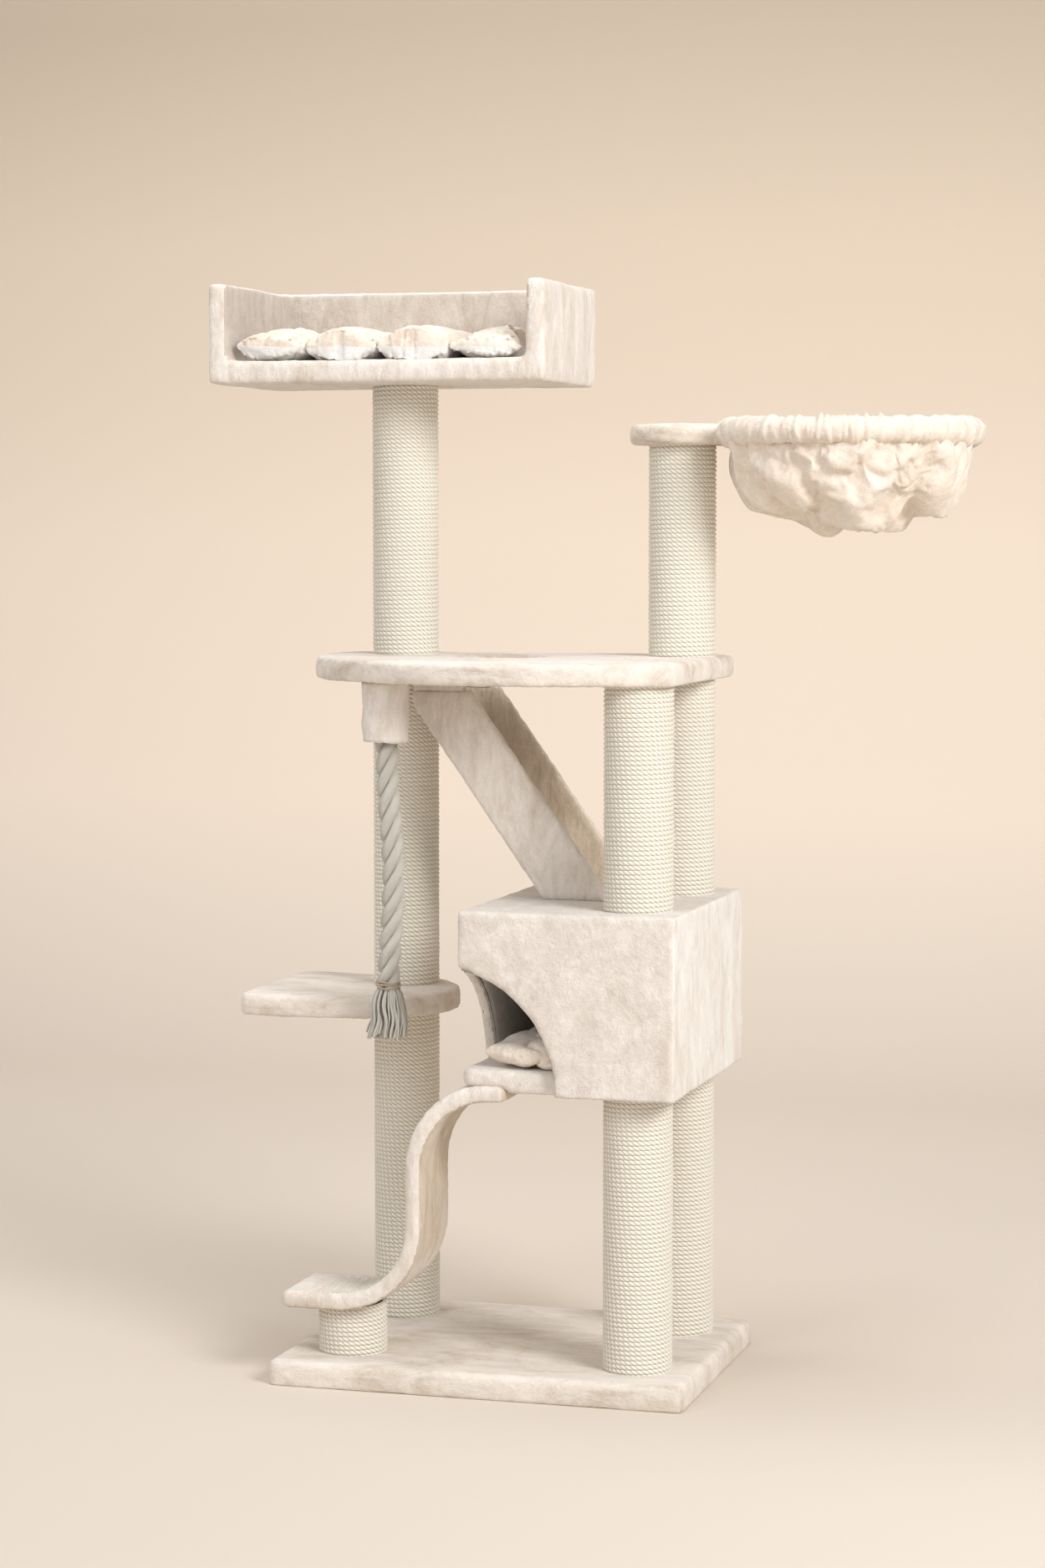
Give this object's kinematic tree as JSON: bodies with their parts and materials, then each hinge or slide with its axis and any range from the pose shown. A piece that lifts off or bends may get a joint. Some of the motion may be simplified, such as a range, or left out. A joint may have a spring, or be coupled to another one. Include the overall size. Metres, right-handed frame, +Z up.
{
  "type": "cat tree",
  "caption": "Tall plush cat tree on sisal posts with a cave, a channel ramp, a curved ramp, a shelf, a bed, a bag hammock and a hanging rope.",
  "frame": {"origin": "centre of the base's underside, on the floor", "axes": "+X to the right along the base's long side, +Y to the back, +Z up"},
  "size_m": [1.356, 0.6651, 1.911],
  "materials": {
    "plush": "short cream pile, brushed in patches",
    "long_plush": "long cream pile, gathered in soft folds",
    "cushion_plush": "cream pile above, smooth white cloth below",
    "sisal": "natural off-white sisal cord, wound tight",
    "cotton_rope": "soft three-strand cotton",
    "twine": "thin tan twine",
    "chipboard": "raw chipboard",
    "grey_board": "grey faced board",
    "plywood": "raw birch plywood",
    "cardboard": "wound brown card tube",
    "zinc_steel": "zinc-plated steel"
  },
  "bodies": {
    "tree": {"back_left_lower_post_sisal": "sisal", "back_left_lower_post_tube": "cardboard", "back_left_middle_post_sisal": "sisal", "back_left_middle_post_tube": "cardboard", "back_left_upper_post_sisal": "sisal", "back_left_upper_post_tube": "cardboard", "back_right_lower_post_sisal": "sisal", "back_right_lower_post_tube": "cardboard", "back_right_middle_post_sisal": "sisal", "back_right_middle_post_tube": "cardboard", "back_right_upper_post_sisal": "sisal", "back_right_upper_post_tube": "cardboard", "base_board": "chipboard", "base_cover": "plush", "bed_back_wall": "chipboard", "bed_cover": "plush", "bed_floor_board": "chipboard", "bed_side_walls": "chipboard", "bolts": "zinc_steel", "chute_cleats": "plywood", "chute_cover": "plush", "chute_floor": "chipboard", "chute_side_walls": "chipboard", "front_right_lower_post_sisal": "sisal", "front_right_lower_post_tube": "cardboard", "front_right_upper_post_sisal": "sisal", "front_right_upper_post_tube": "cardboard", "house_back_panel": "grey_board", "house_cover": "plush", "house_floor_board": "chipboard", "house_floor_cover": "plush", "house_front_panel": "grey_board", "house_left_panel": "grey_board", "house_right_panel": "grey_board", "house_top_panel": "grey_board", "platform_board": "chipboard", "platform_cover": "plush", "post_end_plugs": "plywood", "ramp_board": "plywood", "ramp_cover": "plush", "ramp_post_sisal": "sisal", "ramp_post_tube": "cardboard", "ramp_sisal_mat": "sisal", "rope_sleeve": "plush", "rope_top": "cotton_rope", "shelf_board": "chipboard", "shelf_cover": "plush", "tee_nuts": "zinc_steel", "threaded_studs": "zinc_steel", "washers": "zinc_steel", "wood_screws": "zinc_steel"},
    "hammock": {"hammock_board": "plywood", "hammock_plate_cover": "plush", "hammock_bag": "long_plush"},
    "bed_cushion": {"bed_cushion": "cushion_plush"},
    "house_cushion": {"house_cushion": "cushion_plush"},
    "rope_upper": {"rope_upper": "cotton_rope"},
    "rope_lower": {"rope_lower": "cotton_rope", "rope_whipping": "twine", "rope_tassel": "cotton_rope"}
  },
  "joints": [
    {"name": "hammock_swivel", "type": "hinge", "parent": "tree", "child": "hammock", "pos_m": [0.262, 0.154, 1.64], "axis": [0, 0, 1], "range_deg": [-120, 120]},
    {"name": "bed_cushion_lift", "type": "slide", "parent": "tree", "child": "bed_cushion", "axis": [0, 0, 1], "range_m": [0, 0.25]},
    {"name": "house_cushion_lift", "type": "slide", "parent": "tree", "child": "house_cushion", "axis": [0, 0, 1], "range_m": [0, 0.18]},
    {"name": "rope_swing", "type": "hinge", "parent": "tree", "child": "rope_upper", "pos_m": [-0.194, -0.132, 1.1], "axis": [0, 1, 0], "range_deg": [-12, 45]},
    {"name": "rope_flex", "type": "hinge", "parent": "rope_upper", "child": "rope_lower", "pos_m": [-0.194, -0.132, 1.04], "axis": [1, 0, 0], "range_deg": [-45, 1.5]}
  ]
}
